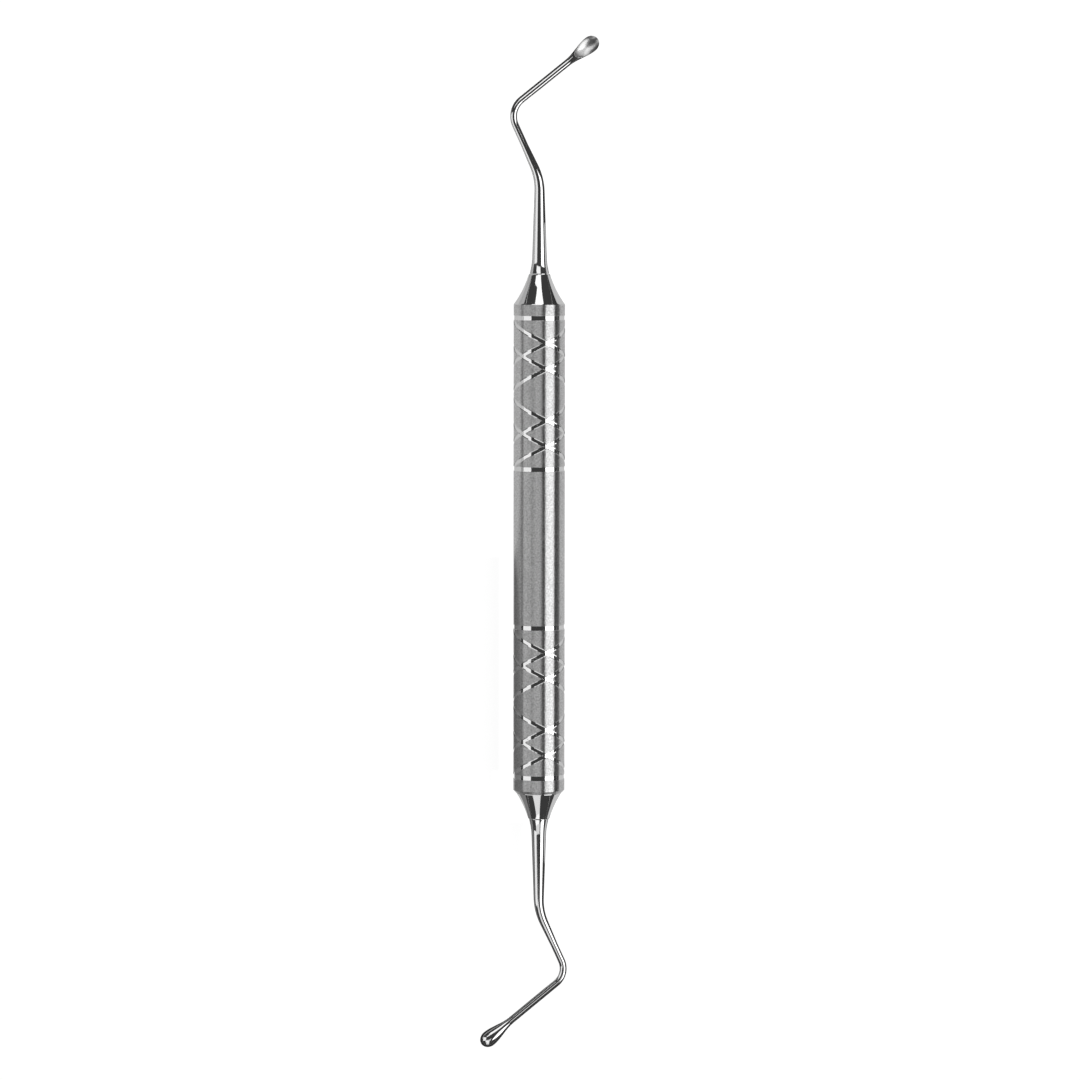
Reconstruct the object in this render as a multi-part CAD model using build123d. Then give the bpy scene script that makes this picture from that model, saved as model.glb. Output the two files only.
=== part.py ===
# Double-ended bone curette: a round hollow handle with satin steel between polished grooves,
# a polished cone pressed into each end of it, and in each cone a working end. A working end is
# one forged and bent piece: tang, tapered shank and a hollow-ground spoon.
# Millimetres. The curette lies on its handle: the handle's axis is along Y, the bends lie flat
# in the XY plane, and +Z is up. The origin is on the resting surface, below mid-handle.
import os
from math import atan, cos, pi, radians, sin, tan

from build123d import *

# Handle tube. Its ends stand at these distances from mid-handle.
HANDLE_DIAMETER = 9.0
TUBE_BORE = 7.2
UPPER_TUBE_END = 42.6
LOWER_TUBE_END = 43.25
LOWER_TUBE_CHAMFER = 0.52

# Polished grooves: four rings, and between each pair a panel of crossing helical bands.
RING_WIDTH = 0.80
RING_DEPTH = 0.10
PANEL_LENGTH = 26.4
UPPER_PANEL_TOP = 40.25
LOWER_PANEL_TOP = -13.95
BAND_PITCH = 13.5
BAND_STARTS = 2
BAND_START_SPACING = BAND_PITCH / 3
BAND_WIDTH = 0.72
RIGHT_HAND_DEPTH = 0.075
LEFT_HAND_DEPTH = 0.085
FIRST_CROSSING_DROP = 4.36
CROSSING_ANGLE = 17.8
PANEL_SECTORS = 3

# Cones, from the tube's end to the seam round the shank.
SEAM_FROM_CENTRE = 47.85
CONE_TIP_RADIUS = 1.86
CONE_MIDDLE_SHARE = 0.35
UPPER_CONE_MIDDLE_RADIUS = 3.32
LOWER_CONE_MIDDLE_RADIUS = 3.06
SPIGOT_LENGTH = 6.0
SPIGOT_CHAMFER = 0.4
TANG_RADIUS = 1.2
TANG_LENGTH = 8.5

# Shank, measured along its centre line from the seam.
SHANK_ROOT_RADIUS = 1.75
ROOT_FLARE_LENGTH = 3.0
ROOT_FLARE_MIDDLE_RADIUS = 1.43
TAPER_START_RADIUS = 1.27
TAPER_END = 23.0
SHANK_RADIUS = 0.61

# Spoon, measured back from its tip, and the wheel that hollows it.
SPOON_RADIUS = 1.405
SPOON_WIDEST = 1.62
SPOON_FLARE_START = 6.7
WHEEL_RADIUS = 4.5
WHEEL_EDGE_RADIUS = 2.0
WHEEL_HALF_WIDTH = 1.6
WHEEL_CENTRE_FROM_TIP = 1.74
WHEEL_CENTRE_HEIGHT = 4.0

# Each end was bent by hand, so the two differ a little. Lengths run from corner to corner.
UPPER_BEND = {
    "straight": 16.75,
    "lean": 24.5,
    "middle": 13.0,
    "return": 75.6,
    "last": 19.9,
    "first_radius": 10.6,
    "second_radius": 3.7,
}
LOWER_BEND = {
    "straight": 16.4,
    "lean": 24.6,
    "middle": 12.25,
    "return": 74.8,
    "last": 19.65,
    "first_radius": 10.6,
    "second_radius": 3.4,
}

HANDLE_RADIUS = HANDLE_DIAMETER / 2
BORE_RADIUS = TUBE_BORE / 2
RING_FLOOR = HANDLE_RADIUS - RING_DEPTH
HALF_RING = RING_WIDTH / 2


def turned(points, arc=360, start=0):
    """A solid turned about Z from straight-sided (radius, z) points."""
    outline = Wire.make_polygon([(radius, 0, z) for radius, z in points], close=True)
    return Solid.revolve(Face(outline), arc, Axis.Z).rotate(Axis.Z, start)


def grooved_section(low, high):
    """Outline of the tube between two ring centres, with half of each ring's groove."""
    return [
        (BORE_RADIUS, low),
        (RING_FLOOR, low),
        (RING_FLOOR, low + HALF_RING),
        (HANDLE_RADIUS, low + HALF_RING),
        (HANDLE_RADIUS, high - HALF_RING),
        (RING_FLOOR, high - HALF_RING),
        (RING_FLOOR, high),
        (BORE_RADIUS, high),
    ]


def band_cutter(drop, hand, depth):
    """A helical cutter through the panel. It passes CROSSING_ANGLE at this drop from the top."""
    lead = 2 * pi * HANDLE_RADIUS
    axial_width = BAND_WIDTH / cos(atan(BAND_PITCH / lead))
    half_angle = 180 * axial_width / BAND_PITCH
    middle = CROSSING_ANGLE - 90 - hand * 360 * (PANEL_LENGTH - drop) / BAND_PITCH
    inner = HANDLE_RADIUS - depth
    outer = HANDLE_RADIUS + 4 * depth

    def corner(radius, side):
        angle = radians(middle + side * half_angle)
        return Vector(radius * cos(angle), radius * sin(angle), 0)

    outline = Wire(
        [
            Edge.make_three_point_arc(corner(inner, -1), corner(inner, 0), corner(inner, 1)),
            Edge.make_line(corner(inner, 1), corner(outer, 1)),
            Edge.make_three_point_arc(corner(outer, 1), corner(outer, 0), corner(outer, -1)),
            Edge.make_line(corner(outer, -1), corner(inner, -1)),
        ]
    )
    turn = hand * 360 * PANEL_LENGTH / BAND_PITCH
    return Solid.extrude_linear_with_rotation(Face(outline), (0, 0, 0), (0, 0, PANEL_LENGTH), turn)


def grooved_panel():
    """One panel of the tube, cut by bands of both hands. It is cut in sectors and then joined."""
    cutters = []
    for start in range(BAND_STARTS):
        drop = FIRST_CROSSING_DROP + start * BAND_START_SPACING
        cutters.append(band_cutter(drop, 1, RIGHT_HAND_DEPTH))
        cutters.append(band_cutter(drop, -1, LEFT_HAND_DEPTH))
    arc = 360 / PANEL_SECTORS
    sectors = []
    for number in range(PANEL_SECTORS):
        sector = turned(grooved_section(0, PANEL_LENGTH), arc, number * arc)
        for cutter in cutters:
            sector = sector.cut(cutter).solids().sort_by(SortBy.VOLUME)[-1]
        sectors.append(sector)
    return sectors[0].fuse(*sectors[1:])


def handle_tube():
    """The tube on Z: an end, a grooved panel, the plain middle, the second panel, an end."""
    upper_end = turned(
        [
            (BORE_RADIUS, UPPER_PANEL_TOP),
            (RING_FLOOR, UPPER_PANEL_TOP),
            (RING_FLOOR, UPPER_PANEL_TOP + HALF_RING),
            (HANDLE_RADIUS, UPPER_PANEL_TOP + HALF_RING),
            (HANDLE_RADIUS, UPPER_TUBE_END),
            (BORE_RADIUS, UPPER_TUBE_END),
        ]
    )
    middle = turned(grooved_section(LOWER_PANEL_TOP, UPPER_PANEL_TOP - PANEL_LENGTH))
    last_ring = LOWER_PANEL_TOP - PANEL_LENGTH
    lower_end = turned(
        [
            (BORE_RADIUS, -LOWER_TUBE_END),
            (HANDLE_RADIUS - LOWER_TUBE_CHAMFER, -LOWER_TUBE_END),
            (HANDLE_RADIUS, -LOWER_TUBE_END + LOWER_TUBE_CHAMFER),
            (HANDLE_RADIUS, last_ring - HALF_RING),
            (RING_FLOOR, last_ring - HALF_RING),
            (RING_FLOOR, last_ring),
            (BORE_RADIUS, last_ring),
        ]
    )
    panel = grooved_panel()
    upper_panel = panel.translate((0, 0, UPPER_PANEL_TOP - PANEL_LENGTH))
    lower_panel = panel.translate((0, 0, last_ring))
    return lower_end.fuse(lower_panel, middle, upper_panel, upper_end, glue=True)


def end_cone(tube_end, base_radius, middle_radius):
    """A cone on +Z: concave nose from the tube's end to the seam, spigot below, bore for the tang."""
    middle_height = tube_end + CONE_MIDDLE_SHARE * (SEAM_FROM_CENTRE - tube_end)
    spigot_end = tube_end - SPIGOT_LENGTH
    bore_end = SEAM_FROM_CENTRE - TANG_LENGTH
    with BuildPart() as cone:
        with BuildSketch(Plane.XZ):
            with BuildLine():
                Polyline(
                    (CONE_TIP_RADIUS, SEAM_FROM_CENTRE),
                    (TANG_RADIUS, SEAM_FROM_CENTRE),
                    (TANG_RADIUS, bore_end),
                    (0, bore_end),
                    (0, spigot_end),
                    (BORE_RADIUS - SPIGOT_CHAMFER, spigot_end),
                    (BORE_RADIUS, spigot_end + SPIGOT_CHAMFER),
                    (BORE_RADIUS, tube_end),
                    (base_radius, tube_end),
                )
                ThreePointArc(
                    (base_radius, tube_end),
                    (middle_radius, middle_height),
                    (CONE_TIP_RADIUS, SEAM_FROM_CENTRE),
                )
            make_face()
        revolve(axis=Axis.Z)
    return cone.part


def taper_radius(run):
    """The shank's radius at a distance from the seam, past the flare at its root."""
    if run >= TAPER_END:
        return SHANK_RADIUS
    share = (run - ROOT_FLARE_LENGTH) / (TAPER_END - ROOT_FLARE_LENGTH)
    return TAPER_START_RADIUS + share * (SHANK_RADIUS - TAPER_START_RADIUS)


def shank_root(length):
    """Tang and first straight of the shank, turned about Y. The seam is at y = 0."""
    with BuildPart() as root:
        with BuildSketch(Plane.XY):
            with BuildLine():
                Polyline(
                    (SHANK_ROOT_RADIUS, 0),
                    (TANG_RADIUS, 0),
                    (TANG_RADIUS, -TANG_LENGTH),
                    (0, -TANG_LENGTH),
                    (0, length),
                    (taper_radius(length), length),
                    (TAPER_START_RADIUS, ROOT_FLARE_LENGTH),
                )
                ThreePointArc(
                    (TAPER_START_RADIUS, ROOT_FLARE_LENGTH),
                    (ROOT_FLARE_MIDDLE_RADIUS, ROOT_FLARE_LENGTH * 0.45),
                    (SHANK_ROOT_RADIUS, 0),
                )
            make_face()
        revolve(axis=Axis.Y)
    return root.part


def spoon(length):
    """The last straight, turned about Y with its tip at y = 0, and hollowed from +Z by a wheel."""
    with BuildPart() as bulb:
        with BuildSketch(Plane.XY):
            with BuildLine():
                Polyline(
                    (SHANK_RADIUS, -SPOON_FLARE_START),
                    (SHANK_RADIUS, -length),
                    (0, -length),
                    (0, 0),
                )
                Spline(
                    (SHANK_RADIUS, -SPOON_FLARE_START),
                    (SPOON_RADIUS, -SPOON_WIDEST),
                    tangents=[(0, 1), (0, 1)],
                )
                EllipticalCenterArc(
                    (0, -SPOON_WIDEST),
                    SPOON_RADIUS,
                    SPOON_WIDEST,
                    start_angle=0,
                    arc_size=90,
                )
            make_face()
        revolve(axis=Axis.Y)
    hub = WHEEL_RADIUS - WHEEL_EDGE_RADIUS
    rim = hub + (WHEEL_EDGE_RADIUS**2 - WHEEL_HALF_WIDTH**2) ** 0.5
    with BuildPart() as wheel:
        with BuildSketch(Plane.XY):
            with BuildLine():
                Polyline(
                    (WHEEL_HALF_WIDTH, rim),
                    (WHEEL_HALF_WIDTH, 0),
                    (-WHEEL_HALF_WIDTH, 0),
                    (-WHEEL_HALF_WIDTH, rim),
                )
                ThreePointArc((-WHEEL_HALF_WIDTH, rim), (0, WHEEL_RADIUS), (WHEEL_HALF_WIDTH, rim))
            make_face()
        revolve(axis=Axis.X)
    placed = wheel.part.moved(Location((0, -WHEEL_CENTRE_FROM_TIP, WHEEL_CENTRE_HEIGHT)))
    return bulb.part.cut(placed)


def working_end(bend, facing):
    """One bent end from the seam at y = 0 towards +Y. facing is 1 for a spoon open to +Z."""
    first_tangent = bend["first_radius"] * tan(radians(bend["lean"] / 2))
    second_tangent = bend["second_radius"] * tan(radians(bend["return"] / 2))
    middle_run = bend["middle"] - first_tangent - second_tangent
    straight_run = bend["straight"] - first_tangent
    first_arc_end = straight_run + bend["first_radius"] * radians(bend["lean"])
    last_run = bend["last"] - second_tangent

    root = shank_root(straight_run)

    first_arc = JernArc((0, straight_run), (0, 1), bend["first_radius"], bend["lean"])
    stations = []
    for share in (0, 0.5, 1):
        run = straight_run + share * (first_arc_end - straight_run)
        plane = Plane(origin=first_arc @ share, x_dir=(0, 0, 1), z_dir=first_arc % share)
        stations.append(plane * Circle(taper_radius(run)))
    first_bend = sweep(stations, path=first_arc, multisection=True)

    middle = Plane(origin=first_arc @ 1, x_dir=(0, 0, 1), z_dir=first_arc % 1)
    taper_run = TAPER_END - first_arc_end
    tapered = Solid.make_cone(taper_radius(first_arc_end), SHANK_RADIUS, taper_run, middle)
    parallel = Solid.make_cylinder(SHANK_RADIUS, middle_run - taper_run, middle.offset(taper_run))

    turn_start = middle.offset(middle_run).origin
    second_arc = JernArc(turn_start, first_arc % 1, bend["second_radius"], -bend["return"])
    second_plane = Plane(origin=second_arc @ 0, x_dir=(0, 0, 1), z_dir=second_arc % 0)
    second_bend = sweep(second_plane * Circle(SHANK_RADIUS), path=second_arc)

    heading = second_arc % 1
    across = heading.cross(Vector(0, 0, facing))
    last = Plane(origin=(second_arc @ 1) + heading * last_run, x_dir=across, z_dir=(0, 0, facing))
    hollow_spoon = last * spoon(last_run)

    return root.solid().fuse(
        first_bend.solid(), tapered, parallel, second_bend.solid(), hollow_spoon.solid()
    )


def laid(shape):
    """Turns a piece built along Z so that it lies along Y, at the handle's height."""
    return shape.rotate(Axis.X, -90).translate((0, 0, HANDLE_RADIUS))


upper_end = working_end(UPPER_BEND, 1).translate((0, SEAM_FROM_CENTRE, HANDLE_RADIUS))
lower_end = working_end(LOWER_BEND, -1).translate((0, SEAM_FROM_CENTRE, HANDLE_RADIUS)).rotate(Axis.Z, 180)
upper_cone = end_cone(UPPER_TUBE_END, HANDLE_RADIUS, UPPER_CONE_MIDDLE_RADIUS)
lower_cone = end_cone(LOWER_TUBE_END, HANDLE_RADIUS - LOWER_TUBE_CHAMFER, LOWER_CONE_MIDDLE_RADIUS)

pieces = {
    "handle_tube": laid(handle_tube()),
    "upper_end_cone": laid(upper_cone),
    "lower_end_cone": laid(lower_cone).rotate(Axis.Z, 180),
    "upper_working_end": upper_end,
    "lower_working_end": lower_end,
}

os.makedirs("parts", exist_ok=True)
for name, piece in pieces.items():
    export_step(piece, f"parts/{name}.step")
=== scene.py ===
from math import atan2, ceil, cos, hypot, pi, radians, sin, sqrt, tan

import bpy
from mathutils import Matrix, Vector


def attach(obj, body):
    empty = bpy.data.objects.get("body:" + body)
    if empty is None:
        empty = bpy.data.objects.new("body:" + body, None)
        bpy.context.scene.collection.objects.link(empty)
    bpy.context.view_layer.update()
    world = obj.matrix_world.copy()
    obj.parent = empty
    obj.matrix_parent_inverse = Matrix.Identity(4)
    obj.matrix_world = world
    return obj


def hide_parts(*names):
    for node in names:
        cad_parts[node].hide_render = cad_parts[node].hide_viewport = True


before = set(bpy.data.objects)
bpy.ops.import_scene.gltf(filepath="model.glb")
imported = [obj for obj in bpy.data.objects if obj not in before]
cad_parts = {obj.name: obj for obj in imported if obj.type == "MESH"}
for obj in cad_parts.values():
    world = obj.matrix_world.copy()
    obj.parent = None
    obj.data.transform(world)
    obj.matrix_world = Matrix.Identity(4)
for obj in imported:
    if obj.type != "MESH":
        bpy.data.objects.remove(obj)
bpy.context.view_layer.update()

# Looks of a double-ended bone curette. The scene is in metres, and sizes of the curette are
# written in millimetres and turned into metres by MM. Angles are in degrees. The handle lies along Y.
MM = 0.001

# Handle tube. Inside GROOVE_RADIUS a point is in a groove, and inside BORE_LIMIT it is in the bore.
AXIS_HEIGHT = 4.5
HANDLE_RADIUS = 4.5
GROOVE_RADIUS = 4.455
BORE_LIMIT = 3.96
LAST_RING_END = 40.8
UPPER_TUBE_END = 42.6
LOWER_TUBE_END = 43.25

# Groove walls. A shift moves a wall's foot inwards or its edge outwards. ROUND_FACE, ACROSS_RING
# and LEAST_FACING are cosines.
BAND_FOOT_SHIFT = 0.1
BAND_EDGE_SHIFT = 0.15
RING_FOOT_SHIFT = 0.02
RING_EDGE_SHIFT = 0.06
ROUND_FACE = 0.97
ACROSS_RING = 0.98
LEAST_FACING = 0.4

# Cones.
BORE_RADIUS = 3.6
LOWER_CONE_RADIUS = 3.98
SEAM_FROM_CENTRE = 47.85
CONE_TIP_RADIUS = 1.86
CONE_MIDDLE_SHARE = 0.35
UPPER_CONE_MIDDLE_RADIUS = 3.32
LOWER_CONE_MIDDLE_RADIUS = 3.06
SPIGOT_LENGTH = 6.0
SPIGOT_CHAMFER = 0.4
CONE_BASE_CHAMFER = 0.05
CONE_TIP_CHAMFER = 0.07

# Working ends. TAPER_END is measured along the shank from the seam, and SPOON_WIDEST and
# SPOON_FLARE_START back from the tip.
TANG_RADIUS = 1.2
TANG_LENGTH = 8.5
SHANK_ROOT_RADIUS = 1.75
SEAM_DEPTH = 0.16
SEAM_WIDTH = 0.09
ROOT_FLARE_LENGTH = 3.0
ROOT_FLARE_MIDDLE_SHARE = 0.45
ROOT_FLARE_MIDDLE_RADIUS = 1.43
TAPER_START_RADIUS = 1.27
TAPER_END = 23.0
SHANK_RADIUS = 0.61
SPOON_RADIUS = 1.405
SPOON_WIDEST = 1.62
SPOON_FLARE_START = 6.7
WHEEL_RADIUS = 4.5
WHEEL_EDGE_RADIUS = 2.0
WHEEL_HALF_WIDTH = 1.6
WHEEL_CENTRE_FROM_TIP = 1.74
WHEEL_CENTRE_HEIGHT = 4.0

# straight, middle and last are the lengths up to, between and past a shank's two corners. It
# leans out at the first and comes back at the second.
UPPER_BEND = {
    "straight": 16.75,
    "lean": 24.5,
    "middle": 13.0,
    "return": 75.6,
    "last": 19.9,
    "first_radius": 10.6,
    "second_radius": 3.7,
}
LOWER_BEND = {
    "straight": 16.4,
    "lean": 24.6,
    "middle": 12.25,
    "return": 74.8,
    "last": 19.65,
    "first_radius": 10.6,
    "second_radius": 3.4,
}

# Fineness of the meshes.
SHARP_TURN = 25
CONE_SIDES = 144
CONE_STEPS = 48
END_SIDES = 144
ROOT_FLARE_STEPS = 24
STRAIGHT_STEP = 1.0
FIRST_BEND_STEP = 0.3
SECOND_BEND_STEP = 0.1
SPOON_STEP = 0.05
TIP_STEP = 1.3
TIP_LAST_ANGLE = 89
RIM_HALVINGS = 24
RIM_TOLERANCE = 1e-4

# Steel. The grain's height is on the satin finish alone.
SATIN_TONE, POLISHED_TONE, GROUND_TONE = 0.62, 0.78, 0.52
SATIN_ROUGHNESS, POLISHED_ROUGHNESS, GROUND_ROUGHNESS = 0.34, 0.07, 0.3
SATIN_GRAIN_HEIGHT = 0.012
BLOTCHES_PER_METRE = 450.0

# Camera, for a square picture.
CAMERA_TARGET = (0.158, 1.266, 4.5)
CAMERA_DISTANCE = 982.24
CAMERA_TILT = 3.9
CAMERA_ROLL = 0.07
CAMERA_LENS = 186.67
CAMERA_SENSOR = 36.0

# Studio. RIGHT is the curette's right, HEAD its upper end and FOOT its lower end, as angles about +Z.
LIGHT_DISTANCE = 600.0
RIGHT, HEAD, FOOT = 0, 90, -90
FLOOR_REACH = 4000.0
FLOOR_TONE = 0.3
FLOOR_WHITE = 0.92
FLOOR_IN_STEEL = 0.45
ROOM_DARK = 0.05
CARD_ROUGHNESS = 0.9
FILL_CENTRE = (12.0, 90.6, 10.2)
FILL_SIZE = (8.0, 7.0)
FILL_TILT = 45
FILL_TURN = 51
FILL_GLOW = 0.95

# Cards on the table: left, right, near and far edge of each.
CARD_HEIGHT = 0.1
BLACK, GREY, PALE = 0.02, 0.33, 0.75
BLACK_CARDS = [
    (29, 600, -400, 400),
    (-200, 29, 79, 400),
    (1.5, 5.5, 48.5, 57),
    (1.5, 29, 57, 79),
    (-600, 29, -400, -76),
    (1.5, 29, -76, -57),
    (1.5, 5.5, -57, -49),
]
GREY_CARDS = [
    (-600, -7, -40, -2),
    (-600, -8.3, -76, -40),
    (-8.3, -1.5, -76, -49),
]
PALE_CARDS = [
    (-600, -2, 49, 79),
]


# Shapes

def arc_through(start, middle, end, steps):
    """Points of the arc from start to end that passes through middle."""
    (ax, ay), (bx, by), (cx, cy) = start, middle, end
    turn = 2 * (ax * (by - cy) + bx * (cy - ay) + cx * (ay - by))
    a2, b2, c2 = ax * ax + ay * ay, bx * bx + by * by, cx * cx + cy * cy
    x = (a2 * (by - cy) + b2 * (cy - ay) + c2 * (ay - by)) / turn
    y = (a2 * (cx - bx) + b2 * (ax - cx) + c2 * (bx - ax)) / turn
    radius = hypot(ax - x, ay - y)
    first = atan2(ay - y, ax - x)
    sweep = (atan2(cy - y, cx - x) - first + pi) % (2 * pi) - pi
    angles = [first + sweep * step / steps for step in range(steps + 1)]
    return [(x + radius * cos(angle), y + radius * sin(angle)) for angle in angles]


def mesh_piece(name, points, faces, replaced):
    """A smooth mesh in place of a CAD node. It keeps an edge where its faces turn sharply."""
    mesh = bpy.data.meshes.new(name)
    mesh.from_pydata([Vector(point) * MM for point in points], [], faces)
    mesh.polygons.foreach_set("use_smooth", [True] * len(faces))
    mesh.update()
    mesh.set_sharp_from_angle(angle=radians(SHARP_TURN))
    piece = bpy.data.objects.new(name, mesh)
    bpy.context.scene.collection.objects.link(piece)
    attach(piece, "root")
    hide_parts(replaced)
    return piece


def rings_to_faces(rings, sides):
    """Faces between rings of points. The last two points, one at each end of the row, close it."""
    faces = []
    for ring in range(rings - 1):
        low, high = ring * sides, (ring + 1) * sides
        for side in range(sides):
            after = (side + 1) % sides
            faces.append((low + side, low + after, high + after, high + side))
    start, end = rings * sides, rings * sides + 1
    last = (rings - 1) * sides
    for side in range(sides):
        after = (side + 1) % sides
        faces.append((start, after, side))
        faces.append((end, last + side, last + after))
    return faces


def turned_piece(name, outline, direction, replaced):
    """A piece turned about the handle's axis from (radius, distance along the axis) points."""
    points = []
    for radius, along in outline:
        for side in range(CONE_SIDES):
            angle = 2 * pi * side / CONE_SIDES
            x, z = radius * sin(angle) * direction, radius * cos(angle)
            points.append((x, along * direction, AXIS_HEIGHT + z))
    points.append((0, outline[0][1] * direction, AXIS_HEIGHT))
    points.append((0, outline[-1][1] * direction, AXIS_HEIGHT))
    return mesh_piece(name, points, rings_to_faces(len(outline), CONE_SIDES), replaced)


def end_cone(name, replaced, tube_end, base_radius, middle_radius, direction):
    """A cone with its spigot in the tube and its bore for the tang. direction is -1 at the lower end."""
    spigot_end = tube_end - SPIGOT_LENGTH
    bore_end = SEAM_FROM_CENTRE - TANG_LENGTH
    middle_height = tube_end + CONE_MIDDLE_SHARE * (SEAM_FROM_CENTRE - tube_end)
    nose = arc_through(
        (base_radius, tube_end),
        (middle_radius, middle_height),
        (CONE_TIP_RADIUS, SEAM_FROM_CENTRE),
        CONE_STEPS,
    )
    outline = [
        (BORE_RADIUS - SPIGOT_CHAMFER, spigot_end),
        (BORE_RADIUS, spigot_end + SPIGOT_CHAMFER),
        (BORE_RADIUS, tube_end),
        (base_radius - CONE_BASE_CHAMFER, tube_end),
        *nose[1:-1],
        (CONE_TIP_RADIUS - CONE_TIP_CHAMFER, SEAM_FROM_CENTRE),
        (TANG_RADIUS, SEAM_FROM_CENTRE),
        (TANG_RADIUS, bore_end),
    ]
    return turned_piece(name, outline, direction, replaced)


def root_stations():
    """(run, radius) along the tang, the undercut that shows as a seam, and the root's flare."""
    flare = arc_through(
        (SHANK_ROOT_RADIUS, 0),
        (ROOT_FLARE_MIDDLE_RADIUS, ROOT_FLARE_LENGTH * ROOT_FLARE_MIDDLE_SHARE),
        (TAPER_START_RADIUS, ROOT_FLARE_LENGTH),
        ROOT_FLARE_STEPS,
    )
    undercut = SHANK_ROOT_RADIUS - SEAM_DEPTH
    tang = [(-TANG_LENGTH, TANG_RADIUS), (0, TANG_RADIUS)]
    seam = [(0, undercut), (SEAM_WIDTH, undercut)]
    return tang + seam + [(run, radius) for radius, run in flare if run > SEAM_WIDTH]


def taper_radius(run):
    """The shank's radius at a distance from the seam, past the flare at its root."""
    if run >= TAPER_END:
        return SHANK_RADIUS
    share = (run - ROOT_FLARE_LENGTH) / (TAPER_END - ROOT_FLARE_LENGTH)
    return TAPER_START_RADIUS + share * (SHANK_RADIUS - TAPER_START_RADIUS)


def wheel_surface(x, y):
    """Height to which the grinding wheel cuts at a place in the spoon, or None beside the wheel.

    x is measured across the spoon from its middle, and y along it from the tip.
    """
    if abs(x) > WHEEL_HALF_WIDTH:
        return None
    hub = WHEEL_RADIUS - WHEEL_EDGE_RADIUS
    reach = hub + sqrt(WHEEL_EDGE_RADIUS**2 - x * x)
    offset = y + WHEEL_CENTRE_FROM_TIP
    if abs(offset) >= reach:
        return None
    return WHEEL_CENTRE_HEIGHT - sqrt(reach * reach - offset * offset)


def above_wheel(radius, angle, y):
    """How far a point of the spoon's round body stands above the wheel's cut."""
    height = wheel_surface(radius * sin(angle), y)
    if height is None:
        return -1.0
    return radius * cos(angle) - height


def plain_angles():
    """Angles of a ring's points, evenly spaced."""
    return [2 * pi * side / END_SIDES for side in range(END_SIDES)]


def ring_angles(radius, y):
    """Angles of a ring's points. Where the ring crosses the hollow's rim, a point moves onto it."""
    step = 2 * pi / END_SIDES
    angles = plain_angles()
    over = [above_wheel(radius, angle, y) > 0 for angle in angles]
    if any(over):
        for side in range(END_SIDES):
            after = (side + 1) % END_SIDES
            if over[side] == over[after]:
                continue
            inside, outside = 0.0, step
            if over[after]:
                inside, outside = step, 0.0
            for _ in range(RIM_HALVINGS):
                middle = (inside + outside) / 2
                if above_wheel(radius, side * step + middle, y) > 0:
                    inside = middle
                else:
                    outside = middle
            nearer = side if inside < step / 2 else after
            angles[nearer] = side * step + inside
    return angles


def steps_between(start, end, longest):
    """Values from start to end, without start, no further apart than longest."""
    count = ceil((end - start) / longest)
    return [start + (end - start) * step / count for step in range(1, count + 1)]


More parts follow.
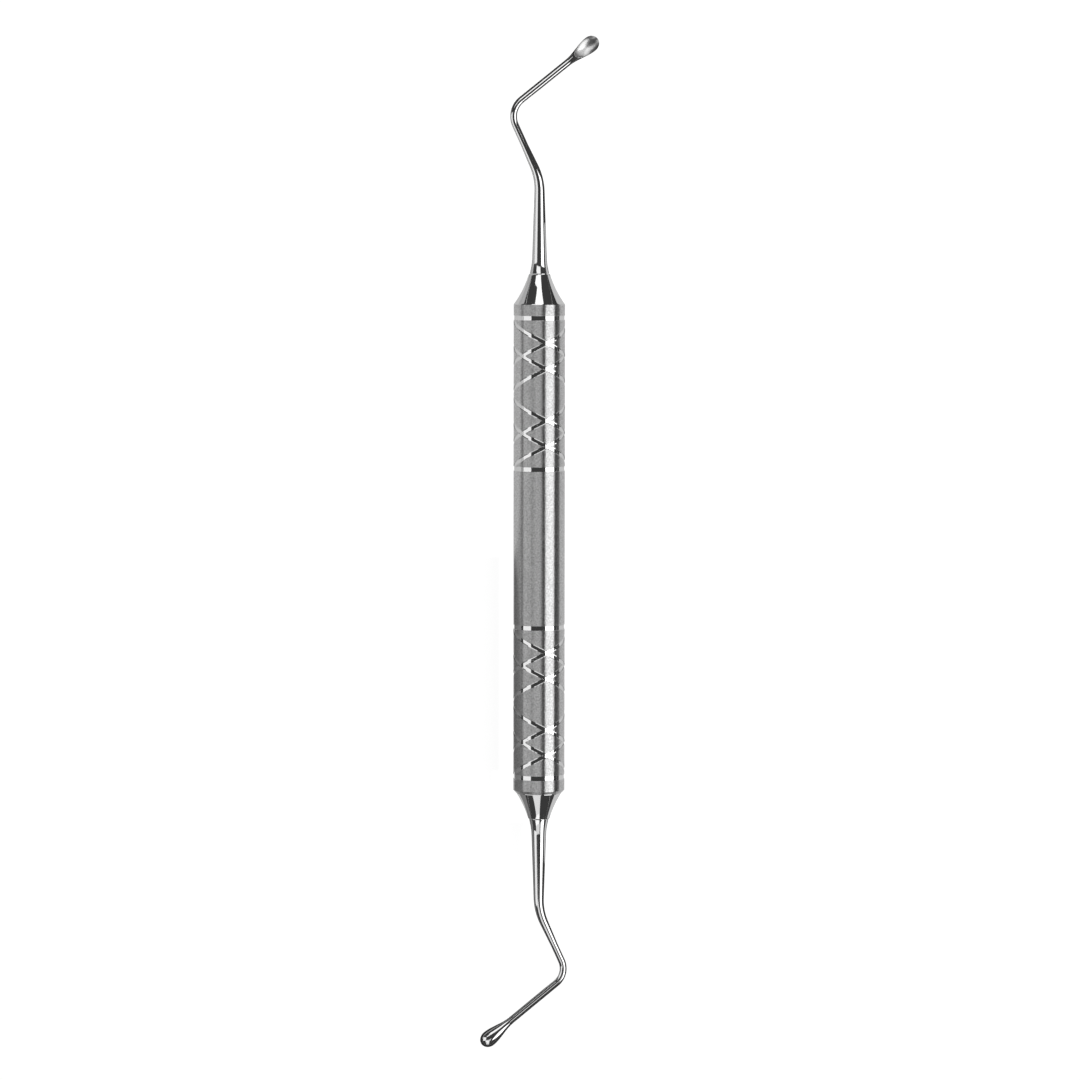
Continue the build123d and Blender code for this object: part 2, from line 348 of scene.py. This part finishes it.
def working_end(name, replaced, bend, facing, direction):
    """One bent end from its tang to its spoon. facing is 1 for a hollow that faces up, -1 for down."""
    lean, back = radians(bend["lean"]), radians(bend["return"])
    first_tangent = bend["first_radius"] * tan(lean / 2)
    second_tangent = bend["second_radius"] * tan(back / 2)
    straight_run = bend["straight"] - first_tangent
    middle_run = bend["middle"] - first_tangent - second_tangent
    last_run = bend["last"] - second_tangent
    first_arc_end = straight_run + bend["first_radius"] * lean
    middle_end = first_arc_end + middle_run
    second_arc_end = middle_end + bend["second_radius"] * back
    tip = second_arc_end + last_run
    flare_start = tip - SPOON_FLARE_START
    widest = tip - SPOON_WIDEST

    stations = root_stations()
    for start, end, longest in (
        (ROOT_FLARE_LENGTH, straight_run, STRAIGHT_STEP),
        (straight_run, first_arc_end, FIRST_BEND_STEP),
        (first_arc_end, TAPER_END, STRAIGHT_STEP),
        (TAPER_END, middle_end, STRAIGHT_STEP),
        (middle_end, second_arc_end, SECOND_BEND_STEP),
        (second_arc_end, flare_start, STRAIGHT_STEP),
    ):
        for run in steps_between(start, end, longest):
            stations.append((run, taper_radius(run)))
    for run in steps_between(flare_start, widest, SPOON_STEP):
        share = (run - flare_start) / (widest - flare_start)
        swell = share * share * (3 - 2 * share)
        stations.append((run, SHANK_RADIUS + swell * (SPOON_RADIUS - SHANK_RADIUS)))
    for angle in steps_between(0, radians(TIP_LAST_ANGLE), radians(TIP_STEP)):
        stations.append((widest + SPOON_WIDEST * sin(angle), SPOON_RADIUS * cos(angle)))

    def place(run):
        """Centre and heading of the shank at a distance from the seam. Headings turn left from +Y."""
        turned = min(max(run - straight_run, 0), bend["first_radius"] * lean) / bend["first_radius"]
        returned = min(max(run - middle_end, 0), bend["second_radius"] * back) / bend["second_radius"]
        x, y = 0.0, min(run, straight_run)
        x -= bend["first_radius"] * (1 - cos(turned))
        y += bend["first_radius"] * sin(turned)
        middle = min(max(run - first_arc_end, 0), middle_run)
        x -= middle * sin(turned)
        y += middle * cos(turned)
        heading = turned - returned
        x += bend["second_radius"] * (cos(turned) - cos(heading))
        y += bend["second_radius"] * (sin(turned) - sin(heading))
        last = max(run - second_arc_end, 0)
        x -= last * sin(heading)
        y += last * cos(heading)
        return x, y, heading

    points, hollow = [], []
    for run, radius in stations:
        x, y, heading = place(run)
        from_tip = run - tip
        for angle in ring_angles(radius, from_tip) if run > flare_start else plain_angles():
            across, up = radius * sin(angle), radius * cos(angle)
            hollow.append(False)
            if run > flare_start:
                height = wheel_surface(across, from_tip)
                if height is not None:
                    hollow[-1] = up > height - RIM_TOLERANCE
                    up = min(up, height)
            across, up = across * facing, up * facing
            points.append((x + across * cos(heading), y + across * sin(heading), up))
    start_x, start_y, _ = place(-TANG_LENGTH)
    end_x, end_y, _ = place(tip)
    points.append((start_x, start_y, 0))
    points.append((end_x, end_y, min(0, wheel_surface(0, 0)) * facing))
    hollow += [False, True]
    placed = [
        (x * direction, (y + SEAM_FROM_CENTRE) * direction, z + AXIS_HEIGHT) for x, y, z in points
    ]
    faces = rings_to_faces(len(stations), END_SIDES)
    piece = mesh_piece(name, placed, faces, replaced)
    for face in piece.data.polygons:
        if all(hollow[index] for index in face.vertices):
            face.material_index = 1
    return piece


def outward_at(point):
    """Direction straight out from the handle's axis at a point, in metres."""
    return Vector((point.x, 0, point.z - AXIS_HEIGHT * MM)).normalized()


def slope_groove_walls(mesh):
    """Moves the foot of each groove's wall inwards and its edge outwards, so that the wall slopes."""
    inward = {}
    for face in mesh.polygons:
        if abs(face.center.y) > LAST_RING_END * MM:
            continue
        if abs(outward_at(face.center).dot(face.normal)) > ROUND_FACE:
            continue
        points = [mesh.vertices[index].co for index in face.vertices]
        depths = [hypot(point.x, point.z - AXIS_HEIGHT * MM) for point in points]
        if max(depths) < GROOVE_RADIUS * MM:
            continue
        for index, depth in zip(face.vertices, depths):
            if depth > BORE_LIMIT * MM:
                inward.setdefault(index, []).append((face.normal.copy(), depth))
    for index, walls in inward.items():
        along = sum((normal for normal, _ in walls), Vector()).normalized()
        normal, depth = walls[0]
        foot, edge = BAND_FOOT_SHIFT, BAND_EDGE_SHIFT
        if abs(along.y) > ACROSS_RING:
            foot, edge = RING_FOOT_SHIFT, RING_EDGE_SHIFT
        shift = foot if depth < GROOVE_RADIUS * MM else -edge
        run = shift * MM / max(along.dot(normal), LEAST_FACING)
        point = mesh.vertices[index].co
        out = outward_at(point)
        point += (along - out * along.dot(out)) * run
    mesh.update()


def handle_tube(satin, polished):
    """The tube's own facets with round normals, satin outside and polished in its grooves."""
    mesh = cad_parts["handle_tube"].data.copy()
    slope_groove_walls(mesh)
    mesh.materials.clear()
    mesh.materials.append(satin)
    mesh.materials.append(polished)
    normals = [None] * len(mesh.loops)
    for face in mesh.polygons:
        face.use_smooth = True
        points = [mesh.vertices[index].co for index in face.vertices]
        depth = min(hypot(point.x, point.z - AXIS_HEIGHT * MM) for point in points)
        grooved = depth < GROOVE_RADIUS * MM and abs(face.center.y) < LAST_RING_END * MM
        face.material_index = 1 if grooved else 0
        for loop in face.loop_indices:
            outward = outward_at(mesh.vertices[mesh.loops[loop].vertex_index].co)
            facing = outward.dot(face.normal)
            normals[loop] = face.normal.copy()
            if abs(facing) > ROUND_FACE:
                normals[loop] = outward if facing > 0 else -outward
    mesh.normals_split_custom_set(normals)
    piece = bpy.data.objects.new("handle", mesh)
    bpy.context.scene.collection.objects.link(piece)
    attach(piece, "root")
    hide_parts("handle_tube")
    return piece


# Materials

def node_group(name, inputs, outputs):
    """A new shader node group with float inputs {name: value} and outputs {name: socket type}."""
    group = bpy.data.node_groups.new(name, "ShaderNodeTree")
    for label, value in inputs.items():
        socket = group.interface.new_socket(label, in_out="INPUT", socket_type="NodeSocketFloat")
        socket.default_value = value
    for label, kind in outputs.items():
        group.interface.new_socket(label, in_out="OUTPUT", socket_type=kind)
    return group


def math_node(nodes, links, operation, *values):
    """A Math node. A value is a number or another node's output."""
    node = nodes.new("ShaderNodeMath")
    node.operation = operation
    for socket, value in zip(node.inputs, values):
        if isinstance(value, (int, float)):
            socket.default_value = value
        else:
            links.new(value, socket)
    return node.outputs[0]


def steel_grain_group():
    """Grain of worked steel: a tone near 1, a height, and blotches. Sizes are across and along Y."""
    group = node_group(
        "steel_grain",
        {"Grain Size mm": 0.15, "Tone Range": 0.1, "Run Along mm": 0.15},
        {"Tone": "NodeSocketFloat", "Height": "NodeSocketFloat", "Blotch": "NodeSocketFloat"},
    )
    nodes, links = group.nodes, group.links
    inside, outside = nodes.new("NodeGroupInput"), nodes.new("NodeGroupOutput")
    place = nodes.new("ShaderNodeTexCoord")
    stretch = nodes.new("ShaderNodeCombineXYZ")
    across = math_node(nodes, links, "DIVIDE", 1 / MM, inside.outputs["Grain Size mm"])
    along = math_node(nodes, links, "DIVIDE", 1 / MM, inside.outputs["Run Along mm"])
    links.new(across, stretch.inputs[0])
    links.new(along, stretch.inputs[1])
    links.new(across, stretch.inputs[2])
    scaled = nodes.new("ShaderNodeVectorMath")
    scaled.operation = "MULTIPLY"
    links.new(place.outputs["Object"], scaled.inputs[0])
    links.new(stretch.outputs[0], scaled.inputs[1])
    speckle = nodes.new("ShaderNodeTexNoise")
    speckle.inputs["Scale"].default_value = 1.0
    speckle.inputs["Detail"].default_value = 2.0
    links.new(scaled.outputs[0], speckle.inputs["Vector"])
    blotch = nodes.new("ShaderNodeTexNoise")
    blotch.inputs["Scale"].default_value = BLOTCHES_PER_METRE
    blotch.inputs["Detail"].default_value = 3.0
    links.new(place.outputs["Object"], blotch.inputs["Vector"])
    centred = math_node(nodes, links, "SUBTRACT", speckle.outputs[0], 0.5)
    swing = math_node(nodes, links, "MULTIPLY", centred, inside.outputs["Tone Range"])
    tone = math_node(nodes, links, "ADD", swing, 1.0)
    links.new(tone, outside.inputs["Tone"])
    links.new(speckle.outputs[0], outside.inputs["Height"])
    links.new(blotch.outputs[0], outside.inputs["Blotch"])
    return group


def steel_material(
    name, grain, tone, roughness, grain_size, grain_run, tone_range, uneven_by, brushed=0.0, height=0.0
):
    """Bare steel. Grain and blotches vary its tone and roughness, and brushed draws out its gleam."""
    material = bpy.data.materials.new(name)
    material.use_nodes = True
    nodes, links = material.node_tree.nodes, material.node_tree.links
    shader = nodes["Principled BSDF"]
    shader.inputs["Metallic"].default_value = 1.0
    shader.inputs["Anisotropic"].default_value = brushed
    shader.inputs["Anisotropic Rotation"].default_value = 0.25
    worked = nodes.new("ShaderNodeGroup")
    worked.node_tree = grain
    worked.inputs["Grain Size mm"].default_value = grain_size
    worked.inputs["Run Along mm"].default_value = grain_run
    worked.inputs["Tone Range"].default_value = tone_range
    colour = nodes.new("ShaderNodeCombineColor")
    level = math_node(nodes, links, "MULTIPLY", worked.outputs["Tone"], tone)
    for channel in range(3):
        links.new(level, colour.inputs[channel])
    links.new(colour.outputs[0], shader.inputs["Base Color"])
    centred = math_node(nodes, links, "SUBTRACT", worked.outputs["Blotch"], 0.5)
    uneven = math_node(nodes, links, "MULTIPLY", centred, uneven_by)
    links.new(math_node(nodes, links, "ADD", uneven, roughness), shader.inputs["Roughness"])
    turned = nodes.new("ShaderNodeTangent")
    turned.direction_type = "RADIAL"
    turned.axis = "Y"
    links.new(turned.outputs[0], shader.inputs["Tangent"])
    if height:
        relief = nodes.new("ShaderNodeBump")
        relief.inputs["Distance"].default_value = height * MM
        links.new(worked.outputs["Height"], relief.inputs["Height"])
        links.new(relief.outputs[0], shader.inputs["Normal"])
    return material


def floor_material():
    """A pale floor that keeps shadows. It is white to the camera and pale grey in the steel."""
    material = bpy.data.materials.new("pale floor")
    material.use_nodes = True
    nodes, links = material.node_tree.nodes, material.node_tree.links
    nodes.clear()
    output = nodes.new("ShaderNodeOutputMaterial")
    matt = nodes.new("ShaderNodeBsdfDiffuse")
    matt.inputs["Color"].default_value = (FLOOR_TONE, FLOOR_TONE, FLOOR_TONE, 1)
    glow = nodes.new("ShaderNodeEmission")
    path = nodes.new("ShaderNodeLightPath")
    seen = math_node(nodes, links, "MULTIPLY", path.outputs["Is Camera Ray"], FLOOR_WHITE)
    mirrored = math_node(nodes, links, "MULTIPLY", path.outputs["Is Glossy Ray"], FLOOR_IN_STEEL)
    through = math_node(nodes, links, "MULTIPLY", path.outputs["Is Transmission Ray"], FLOOR_WHITE)
    both = math_node(nodes, links, "ADD", seen, mirrored)
    links.new(math_node(nodes, links, "ADD", both, through), glow.inputs["Strength"])
    sum_shader = nodes.new("ShaderNodeAddShader")
    links.new(matt.outputs[0], sum_shader.inputs[0])
    links.new(glow.outputs[0], sum_shader.inputs[1])
    links.new(sum_shader.outputs[0], output.inputs["Surface"])
    return material


# Studio

def floor():
    """The white table that the curette lies on."""
    mesh = bpy.data.meshes.new("floor")
    reach = FLOOR_REACH * MM
    corners = [(-reach, -reach, 0), (reach, -reach, 0), (reach, reach, 0), (-reach, reach, 0)]
    mesh.from_pydata(corners, [], [(0, 1, 2, 3)])
    mesh.materials.append(floor_material())
    table = bpy.data.objects.new("floor", mesh)
    bpy.context.scene.collection.objects.link(table)


def surroundings():
    """The dark studio that the steel mirrors. The camera itself sees white."""
    world = bpy.data.worlds.new("studio")
    bpy.context.scene.world = world
    world.use_nodes = True
    nodes, links = world.node_tree.nodes, world.node_tree.links
    dark = nodes["Background"]
    dark.inputs["Color"].default_value = (ROOM_DARK, ROOM_DARK, ROOM_DARK, 1)
    white = nodes.new("ShaderNodeBackground")
    white.inputs["Color"].default_value = (1, 1, 1, 1)
    path = nodes.new("ShaderNodeLightPath")
    choice = nodes.new("ShaderNodeMixShader")
    links.new(path.outputs["Is Camera Ray"], choice.inputs[0])
    links.new(dark.outputs[0], choice.inputs[1])
    links.new(white.outputs[0], choice.inputs[2])
    links.new(choice.outputs[0], nodes["World Output"].inputs["Surface"])


def softbox(name, side, first, last, near, far, glow):
    """A soft light on one side of the curette. It reaches from one angle off overhead to another.

    near and far are its ends. They count towards the upper end for RIGHT, the curette's left for
    HEAD and its right for FOOT. Negative angles put the light on the opposite side.
    """
    middle, half = radians((first + last) / 2), radians((last - first) / 2)
    reach = LIGHT_DISTANCE * cos(half)
    width, length = 2 * LIGHT_DISTANCE * sin(half) * MM, (far - near) * MM
    light = bpy.data.lights.new(name, "AREA")
    light.shape = "RECTANGLE"
    light.size, light.size_y = width, length
    light.energy = glow * pi * width * length
    box = bpy.data.objects.new(name, light)
    turn = Matrix.Rotation(radians(side), 4, "Z")
    place = Vector((reach * sin(middle), (near + far) / 2, reach * cos(middle) + AXIS_HEIGHT))
    tilt = Matrix.Rotation(middle, 4, "Y")
    box.matrix_world = turn @ Matrix.Translation(place * MM) @ tilt
    box.visible_camera = False
    bpy.context.scene.collection.objects.link(box)
    return box


def keep_light_off(light, piece):
    """Keeps one light off one piece, as a flag in front of the lamp would."""
    shaded = bpy.data.collections.new(light.name + " is kept off")
    shaded.objects.link(piece)
    shaded.collection_objects[0].light_linking.link_state = "EXCLUDE"
    light.light_linking.receiver_collection = shaded


def card_material(name, tone):
    """Matt card of one grey."""
    material = bpy.data.materials.new(name)
    material.use_nodes = True
    shader = material.node_tree.nodes["Principled BSDF"]
    shader.inputs["Base Color"].default_value = (tone, tone, tone, 1)
    shader.inputs["Roughness"].default_value = CARD_ROUGHNESS
    return material


def table_cards(name, rectangles, tone):
    """Cards that lie on the table. The steel mirrors them, and the camera does not see them."""
    corners, faces = [], []
    for left, right, near, far in rectangles:
        faces.append([len(corners) + number for number in range(4)])
        for x, y in ((left, near), (right, near), (right, far), (left, far)):
            corners.append(Vector((x, y, CARD_HEIGHT)) * MM)
    mesh = bpy.data.meshes.new(name)
    mesh.from_pydata(corners, [], faces)
    mesh.materials.append(card_material(name, tone))
    cards = bpy.data.objects.new(name, mesh)
    cards.visible_camera = False
    cards.visible_shadow = False
    bpy.context.scene.collection.objects.link(cards)


def spoon_fill():
    """A small soft light past the tip of the upper spoon, for the half of the hollow near the neck."""
    light = bpy.data.lights.new("spoon fill", "AREA")
    light.shape = "RECTANGLE"
    light.size, light.size_y = FILL_SIZE[0] * MM, FILL_SIZE[1] * MM
    light.energy = FILL_GLOW * pi * light.size * light.size_y
    fill = bpy.data.objects.new("spoon fill", light)
    turn = Matrix.Rotation(radians(-FILL_TURN), 4, "Z") @ Matrix.Rotation(radians(-FILL_TILT), 4, "X")
    fill.matrix_world = Matrix.Translation(Vector(FILL_CENTRE) * MM) @ turn
    fill.visible_camera = False
    bpy.context.scene.collection.objects.link(fill)


def camera():
    """Looks down on the curette, from a little towards the upper end."""
    data = bpy.data.cameras.new("camera")
    data.lens = CAMERA_LENS
    data.sensor_width = CAMERA_SENSOR
    viewer = bpy.data.objects.new("camera", data)
    tilt = radians(CAMERA_TILT)
    offset = Vector((0, sin(tilt), cos(tilt))) * CAMERA_DISTANCE
    viewer.location = (Vector(CAMERA_TARGET) + offset) * MM
    turn = Matrix.Rotation(-tilt, 4, "X") @ Matrix.Rotation(radians(CAMERA_ROLL), 4, "Z")
    viewer.rotation_euler = turn.to_euler()
    bpy.context.scene.collection.objects.link(viewer)
    bpy.context.scene.camera = viewer


grain = steel_grain_group()
satin_steel = steel_material(
    "satin steel",
    grain,
    SATIN_TONE,
    SATIN_ROUGHNESS,
    grain_size=0.3,
    grain_run=0.3,
    tone_range=1.1,
    uneven_by=0.06,
    brushed=1.0,
    height=SATIN_GRAIN_HEIGHT,
)
polished_steel = steel_material(
    "polished steel",
    grain,
    POLISHED_TONE,
    POLISHED_ROUGHNESS,
    grain_size=0.2,
    grain_run=0.2,
    tone_range=0.03,
    uneven_by=0.03,
)
ground_steel = steel_material(
    "ground steel",
    grain,
    GROUND_TONE,
    GROUND_ROUGHNESS,
    grain_size=0.2,
    grain_run=0.2,
    tone_range=0.1,
    uneven_by=0.03,
)

handle_tube(satin_steel, polished_steel)
upper_cone = end_cone(
    "upper_cone", "upper_end_cone", UPPER_TUBE_END, HANDLE_RADIUS, UPPER_CONE_MIDDLE_RADIUS, 1
)
lower_cone = end_cone(
    "lower_cone", "lower_end_cone", LOWER_TUBE_END, LOWER_CONE_RADIUS, LOWER_CONE_MIDDLE_RADIUS, -1
)
upper_end = working_end("upper_shank_and_spoon", "upper_working_end", UPPER_BEND, 1, 1)
lower_end = working_end("lower_shank_and_spoon", "lower_working_end", LOWER_BEND, -1, -1)
for piece in (upper_cone, lower_cone, upper_end, lower_end):
    piece.data.materials.append(polished_steel)
for piece in (upper_end, lower_end):
    piece.data.materials.append(ground_steel)

floor()
surroundings()
table_cards("black cards", BLACK_CARDS, BLACK)
table_cards("grey cards", GREY_CARDS, GREY)
table_cards("pale cards", PALE_CARDS, PALE)
softbox("right softbox", RIGHT, 29, 72, -450, 220, 2.05)
softbox("left softbox", RIGHT, -77, -37, -230, 160, 1.0)
softbox("low left softbox", RIGHT, -89.5, -78, -20, 150, 0.6)
softbox("head overhead", HEAD, 23, 35.5, -125, 420, 1.1)
foot_overhead = softbox("foot overhead", FOOT, 18, 36, -420, 125, 0.8)
keep_light_off(foot_overhead, upper_end)
softbox("head softbox", HEAD, 36, 52, -130, 330, 1.3)
softbox("low head softbox", HEAD, 52, 78, -125, 130, 1.4)
softbox("foot softbox", FOOT, 36, 50, -400, 60, 1.2)
softbox("low foot softbox", FOOT, 50, 78, -210, 60, 0.85)
spoon_fill()
camera()

bpy.context.scene.view_settings.view_transform = "Standard"
